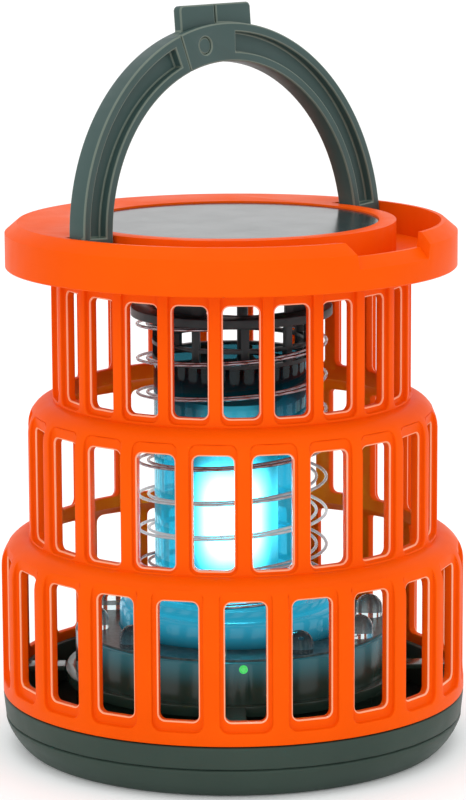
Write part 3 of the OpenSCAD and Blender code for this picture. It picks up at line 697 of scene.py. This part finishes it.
def cell_loops(tier):
    """Loops from the window's inner edge out to the rib: (points, rule for the radius, material)."""
    half, (z0, z1) = tier.width / 2, tier.window
    side, below, above = tier.margins
    floor = tier.radius - RIB_H

    def window(grow):
        return rounded_loop(-half - grow, half + grow, z0 - grow, z1 + grow, WINDOW_CORNER + grow)

    def flute(grow):
        reach_x = half + side + grow
        return rounded_loop(-reach_x, reach_x, z0 - below - grow, z1 + above + grow, tier.flute + grow)

    def outer(x, z):
        return math.sqrt(tier.wall_radius(z, False) ** 2 - x * x)

    def inner(x, z):
        return math.sqrt(tier.wall_radius(z, True) ** 2 - x * x)

    def at_floor(lift):
        return lambda x, z: min(outer(x, z), floor + lift)

    def at_rib(drop):
        return lambda x, z: max(min(outer(x, z), floor), outer(x, z) - drop)

    def inside(drop):
        return lambda x, z: inner(x, z) + drop

    edge = 0.4
    fillet = min(edge, side / 2)
    back = [(window(0.3), inside(0)), (window(0.09), inside(0.09)), (window(0), inside(0.3))]
    jamb = [(window(0), at_floor(-edge))]
    rim = [(window(edge * 0.07), at_floor(-edge * 0.6)), (window(edge * 0.3), at_floor(-edge * 0.25)),
           (window(edge), at_floor(0))]
    panel = [(flute(-fillet), at_floor(0)), (flute(-fillet * 0.3), at_floor(fillet * 0.3)),
             (flute(0), at_floor(fillet))]
    rib = [(flute(0), at_rib(edge + 0.1)), (flute(edge * 0.12), at_rib(edge * 0.5)),
           (flute(edge * 0.45), at_rib(edge * 0.15)), (flute(edge), at_rib(0))]
    # The rim's loops take the trim material, a painted highlight round each window.
    return [(points, rule, TRIM if part is rim else MAIN)
            for part in (back, jamb, rim, panel, rib) for points, rule in part]


def column_angle(column):
    return FIRST_WINDOW + 2 * math.pi * column / COLUMNS


def grille_ring(bm, radius, z):
    """A ring round the grille, with a point for each column."""
    angles = [column_angle(k) for k in range(COLUMNS)]
    return [bm.verts.new((radius * math.cos(angle), radius * math.sin(angle), z)) for angle in angles]


def side_columns(bm, tier, inside):
    """Columns of points between neighbouring windows."""
    a, b = tier.span(inside)
    made = []
    for c in range(WINDOWS):
        angle = column_angle(c * ACROSS + tier.phase - ACROSS // 2)
        column = []
        for k in range(1, UP):
            z = a + (b - a) * k / UP
            radius = tier.wall_radius(z, inside)
            column.append(bm.verts.new((radius * math.cos(angle), radius * math.sin(angle), z)))
        made.append(column)
    return made


def cell_frame(bottom, top, sides, tier, c):
    """The cell's outer rectangle, from points that the neighbours share."""
    start = c * ACROSS + tier.phase - ACROSS // 2
    lower = [bottom[(start + k) % COLUMNS] for k in range(ACROSS + 1)]
    upper = [top[(start + k) % COLUMNS] for k in range(ACROSS + 1)]
    left, right = sides[c], sides[(c + 1) % WINDOWS]
    return lower + right + upper[::-1] + left[::-1]


def add_windows(bm, tier, in_rings, out_rings):
    """Every window of a tier, from the wall's inner face through to its outer face."""
    in_sides, out_sides = side_columns(bm, tier, True), side_columns(bm, tier, False)
    rows = cell_loops(tier)
    for c in range(WINDOWS):
        out, along = directions(column_angle(c * ACROSS + tier.phase))
        previous = cell_frame(*in_rings, in_sides, tier, c)
        for points, rule, index in rows:
            current = [bm.verts.new(out * rule(x, z) + along * x + Vector((0, 0, z))) for x, z in points]
            bridge(bm, previous, current, index)
            previous = current
        bridge(bm, previous, cell_frame(*out_rings, out_sides, tier, c))


def add_plain_wall(bm, points, previous):
    """Rings through (radius, z) points, each joined to the one before. Returns the last ring."""
    for radius, z in points:
        current = grille_ring(bm, radius, z)
        bridge(bm, previous, current)
        previous = current
    return previous


def add_screw_bosses(bm):
    """Four bored bosses under the top band, each with a flat web out to the wall."""
    post_r, bore_r, post_h, into_wall, half_steps = 3.2, 1.13, 5, 0.3, 12
    web_x = TOP_R - WALL + into_wall - BOSS_RING_R

    def arc(radius, count):
        turns = [math.pi * (0.5 + k / half_steps) for k in range(count)]
        return [(radius * math.cos(turn), radius * math.sin(turn)) for turn in turns]

    edge = arc(post_r, half_steps + 1)
    edge += [(web_x, -post_r + 2 * post_r * k / (half_steps - 2)) for k in range(half_steps - 1)]
    bore = arc(bore_r, 2 * half_steps)
    for corner in range(4):
        out, along = directions(math.radians(45 + 90 * corner))
        loops = []
        for points, z in ((edge, CAP_Z - post_h), (edge, CAP_Z), (bore, CAP_Z), (bore, CAP_Z - post_h)):
            loops.append([bm.verts.new(out * (BOSS_RING_R + x) + along * y + Vector((0, 0, z)))
                          for x, y in points])
        for a, b in zip(loops, loops[1:] + loops[:1]):
            bridge(bm, a, b)


def make_grille():
    """Three tiers of windows, two shoulders and a foot band in one closed mesh."""
    bm = bmesh.new()
    low_tier = Tier(radius=LOW_R, upper=MID_R, outside=(18.6, MID_Z - 1.6), inside=(19.6, MID_Z - 3.8),
                    window=(LOW_SILL, LOW_HEAD), width=11.3, flute=2.6, margins=(1.6, 2.8, 3.2),
                    shoulder=MID_Z - SHOULDER_H, phase=0)
    mid_tier = Tier(radius=MID_R, upper=TOP_R, outside=(MID_Z, TOP_Z - 2.2),
                    inside=(MID_Z - PANEL_T, TOP_Z - 4.4), window=(MID_SILL, MID_HEAD), width=11.2,
                    flute=2.2, margins=(1.0, 0.8, 3.2), shoulder=TOP_Z - SHOULDER_H, phase=ACROSS // 2)
    top_tier = Tier(radius=TOP_R, upper=None, outside=(TOP_Z, CAP_Z - 0.3),
                    inside=(TOP_Z - PANEL_T, CAP_Z - 0.3), window=(TOP_SILL, TOP_HEAD), width=9.9,
                    flute=2.0, margins=(0.8, 1.6, 4.0), shoulder=None, phase=0)
    rings = {}
    for tier in (low_tier, mid_tier, top_tier):
        for inside in (True, False):
            rings[tier, inside] = [grille_ring(bm, tier.wall_radius(z, inside), z)
                                   for z in tier.span(inside)]
        add_windows(bm, tier, rings[tier, True], rings[tier, False])
    for inside in (True, False):
        for tier, above in ((low_tier, mid_tier), (mid_tier, top_tier)):
            last = add_plain_wall(bm, shoulder_curve(tier, inside), rings[tier, inside][1])
            bridge(bm, last, rings[above, inside][0])
    inner_r = LOW_R - WALL
    foot = [(LOW_R, FOOT_Z + 0.35), (LOW_R - 0.1, FOOT_Z + 0.1), (LOW_R - 0.35, FOOT_Z),
            (inner_r + 0.2, FOOT_Z), (inner_r, FOOT_Z + 0.2), (inner_r, TRACK[0]),
            (TRACK_R, TRACK[0]), (TRACK_R, TRACK[1]), (inner_r, TRACK[1])]
    last = add_plain_wall(bm, foot, rings[low_tier, False][0])
    bridge(bm, last, rings[low_tier, True][0])
    last = add_plain_wall(bm, [(TOP_R, CAP_Z), (TOP_R - WALL, CAP_Z)], rings[top_tier, False][1])
    bridge(bm, last, rings[top_tier, True][1])
    add_screw_bosses(bm)
    # The pale trim round the windows is a painted highlight.
    piece = add_mesh("grille", bm, "lantern", ORANGE, smooth=50, trim=ORANGE_PAINTED_HIGHLIGHT)
    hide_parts("grille_foot", "grille_low_bars", "grille_low_shoulder", "grille_mid_bars",
                "grille_mid_shoulder", "grille_top_bars", "grille_top_band")


# ---------------------------------------------------------------- coils

def make_coil(node):
    """A coil of drawn wire: a fine tube that follows the CAD coil's own helix."""
    radius = reach(node) - WIRE_R
    z0, z1 = low(node).z + WIRE_R, high(node).z - WIRE_R
    turns = (z1 - z0) / COIL_PITCH
    around, per_turn = 12, 64
    steps = int(turns * per_turn)
    bm = bmesh.new()
    previous = None
    for k in range(steps + 1):
        out, _ = directions(math.radians(COIL_START_DEG) + 2 * math.pi * turns * k / steps)
        centre = out * radius + Vector((0, 0, z0 + (z1 - z0) * k / steps))
        loop = []
        for s in range(around):
            turn = 2 * math.pi * s / around
            rise = Vector((0, 0, WIRE_R * math.sin(turn)))
            loop.append(bm.verts.new(centre + out * WIRE_R * math.cos(turn) + rise))
        if previous:
            bridge(bm, previous, loop)
        else:
            bm.faces.new(loop)
        previous = loop
    bm.faces.new(previous)
    piece = add_mesh(node + "_drawn", bm, "lantern", STEEL)
    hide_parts(node)


# ---------------------------------------------------------------- everything together

make_camera()
make_studio()
make_grille()
make_coil("grid_wire_live")
make_coil("grid_wire_return")

for node in ("cap_shell", "cap_floor"):
    soften(node, width=0.35, material=ORANGE)
# The base takes the darker slate: painted shade.
for node in ("base_bowl", "base_ring"):
    soften(node, width=0.3, material=SLATE_PAINTED_SHADE)
soften("mode_button", width=0.3, material=SLATE)
# The handle's rounded edges take the pale slate trim: a painted highlight.
for node in ("handle_right", "handle_left", "clasp_pin"):
    soften(node, width=0.45, material=SLATE, trim=SLATE_PAINTED_HIGHLIGHT, merge=0.3)
for node in ("crown", "crown_plate", "grid_head", "lamp_cap", "lamp_socket", "drum_floor"):
    soften(node, width=0.3, material=BLACK)
# The drum's parts, its boss and the grid's foot take painted lamp light that grows with height.
for node in ("drum_flange", "drum_arms"):
    soften(node, width=0.3, material=DRUM)
soften("drum", width=0.3, material=DRUM)
soften("drum_boss", width=0.3, material=BOSS)
soften("grid_foot", width=0.3, material=BOSS)

for node in ("rubber_feet", "neck_seal", "port_cover", "panel_gasket"):
    soften(node, width=0.2, material=RUBBER)

SLOT_LOOKS = {
    "orange_plastic": ORANGE, "slate_plastic": SLATE, "black_plastic": BLACK,
    "gloss_black_plastic": DRUM, "rubber": RUBBER, "steel": BOLT,
    "solar_glass": SOLAR, "clear_plastic": TUBE, "frosted_plastic": LAMP,
    "green_light": GREEN_LIGHT, "circuit_board": BOARD, "cell_wrap": CELL,
}
NODE_LOOKS = {"lamp_domes": DOME, "led_board": LED_BOARD}
slot_of = {row["node"]: row["material_slot"] for row in frame["record"]["subparts"]}
for name, obj in frame["nodes"].items():
    if not obj.hide_render:
        obj.data.materials.clear()
        obj.data.materials.append(NODE_LOOKS.get(name, SLOT_LOOKS[slot_of[name]]))
        obj.data.shade_smooth()
        obj.data.set_sharp_from_angle(angle=math.radians(35))
